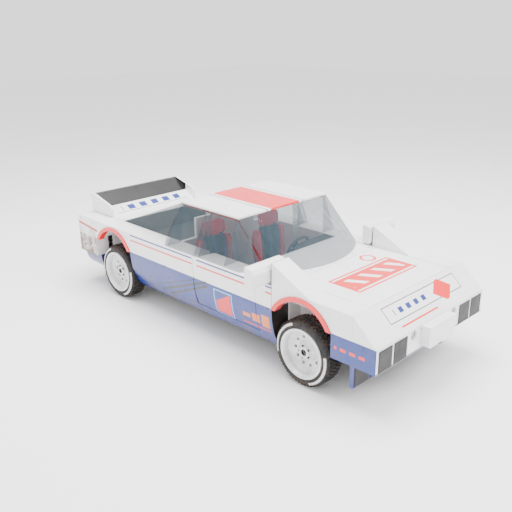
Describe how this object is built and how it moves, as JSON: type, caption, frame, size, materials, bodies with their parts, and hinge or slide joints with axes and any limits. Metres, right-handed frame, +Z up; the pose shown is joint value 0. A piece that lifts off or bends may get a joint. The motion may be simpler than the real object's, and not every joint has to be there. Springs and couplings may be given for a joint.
{
  "type": "rally coupe",
  "caption": "Two-door rally coupe with flat-sided body, faceted glass cabin, flared arches, ramp wing, bucket seats, and wheels, steering, doors, hood and rear lid that move.",
  "frame": {"origin": "on the ground, at the centre of the whole car's box", "axes": "nose towards -Y, car's left towards +X, +Z up"},
  "size_m": [2.034, 4.358, 1.2509],
  "materials": {
    "white_paint": "gloss",
    "blue_paint": "gloss",
    "red_paint": "gloss",
    "black_trim": "satin",
    "under_steel": "matt",
    "cast_block": "matt",
    "lamp_clear": "clear",
    "lamp_red": "gloss",
    "tinted_glass": "tinted",
    "mirror_face": "polished",
    "seat_fabric": "woven",
    "exhaust_steel": "brushed",
    "tyre_rubber": "matt",
    "rim_alloy": "satin"
  },
  "bodies": {
    "body": {"arch_flares": "red_paint", "bulkheads": "white_paint", "cowl": "white_paint", "dashboard": "black_trim", "engine_block": "cast_block", "exhaust": "exhaust_steel", "floor_pan": "under_steel", "front_air_dam": "blue_paint", "front_black_panels": "black_trim", "front_bumper": "white_paint", "front_crossmember": "under_steel", "front_fender_l": "white_paint", "front_fender_r": "white_paint", "front_lamps": "lamp_clear", "front_plate_holder": "white_paint", "mirror_glass": "mirror_face", "mirrors": "white_paint", "nose_panel": "white_paint", "quarter_glass": "tinted_glass", "rear_axle": "under_steel", "rear_bumper": "white_paint", "rear_crossmember": "under_steel", "rear_floor": "white_paint", "rear_quarter_l": "white_paint", "rear_quarter_r": "white_paint", "rear_valance": "blue_paint", "rear_window": "tinted_glass", "roof_panel": "white_paint", "roof_rails": "red_paint", "seat_backs": "seat_fabric", "seat_cushions": "seat_fabric", "seat_frames": "black_trim", "sills": "blue_paint", "tail_lamps": "lamp_red", "tail_panel": "white_paint", "wheelhouses": "white_paint", "windscreen": "tinted_glass"},
    "steering_wheel": {"steering_wheel": "black_trim"},
    "knuckle_l": {"knuckle_l": "under_steel"},
    "knuckle_r": {"knuckle_r": "under_steel"},
    "wheel_fl": {"tyre_fl": "tyre_rubber", "rim_fl": "rim_alloy"},
    "wheel_fr": {"tyre_fr": "tyre_rubber", "rim_fr": "rim_alloy"},
    "wheel_rl": {"tyre_rl": "tyre_rubber", "rim_rl": "rim_alloy"},
    "wheel_rr": {"tyre_rr": "tyre_rubber", "rim_rr": "rim_alloy"},
    "door_l": {"door_l": "white_paint", "door_glass_l": "tinted_glass"},
    "door_r": {"door_r": "white_paint", "door_glass_r": "tinted_glass"},
    "hood": {"hood": "white_paint"},
    "rear_lid": {"rear_lid": "white_paint", "rear_wing": "white_paint"}
  },
  "joints": [
    {"name": "steer_right", "type": "hinge", "parent": "body", "child": "knuckle_r", "pos_m": [-0.71, -1.353, 0.3], "axis": [0, 0, 1], "range_deg": [-24, 24]},
    {"name": "steer_left", "type": "hinge", "parent": "body", "child": "knuckle_l", "pos_m": [0.71, -1.353, 0.3], "axis": [0, 0, 1], "range_deg": [-24, 24]},
    {"name": "steering_wheel_turn", "type": "hinge", "parent": "body", "child": "steering_wheel", "pos_m": [0.265, -0.35, 0.725], "axis": [0, 0.9063, 0.4226], "range_deg": [-300, 300]},
    {"name": "spin_front_right", "type": "hinge", "parent": "knuckle_r", "child": "wheel_fr", "pos_m": [-0.71, -1.353, 0.3], "axis": [1, 0, 0], "continuous": true},
    {"name": "spin_front_left", "type": "hinge", "parent": "knuckle_l", "child": "wheel_fl", "pos_m": [0.71, -1.353, 0.3], "axis": [1, 0, 0], "continuous": true},
    {"name": "spin_rear_right", "type": "hinge", "parent": "body", "child": "wheel_rr", "pos_m": [-0.71, 1.364, 0.3], "axis": [1, 0, 0], "continuous": true},
    {"name": "spin_rear_left", "type": "hinge", "parent": "body", "child": "wheel_rl", "pos_m": [0.71, 1.364, 0.3], "axis": [1, 0, 0], "continuous": true},
    {"name": "door_right_hinge", "type": "hinge", "parent": "body", "child": "door_r", "pos_m": [-0.815, -0.83, 0.6], "axis": [0, 0, 1], "range_deg": [0, 65]},
    {"name": "door_left_hinge", "type": "hinge", "parent": "body", "child": "door_l", "pos_m": [0.815, -0.83, 0.6], "axis": [0, 0, -1], "range_deg": [0, 65]},
    {"name": "hood_hinge", "type": "hinge", "parent": "body", "child": "hood", "pos_m": [0, -1.071, 0.82], "axis": [-1, 0, 0], "range_deg": [0, 50]},
    {"name": "rear_lid_hinge", "type": "hinge", "parent": "body", "child": "rear_lid", "pos_m": [0, 1.488, 0.82], "axis": [1, 0, 0], "range_deg": [0, 60]}
  ],
  "couplings": [
    {"joint": "steer_left", "follows": "steer_right", "ratio": 1},
    {"joint": "steering_wheel_turn", "follows": "steer_right", "ratio": 12.5}
  ]
}
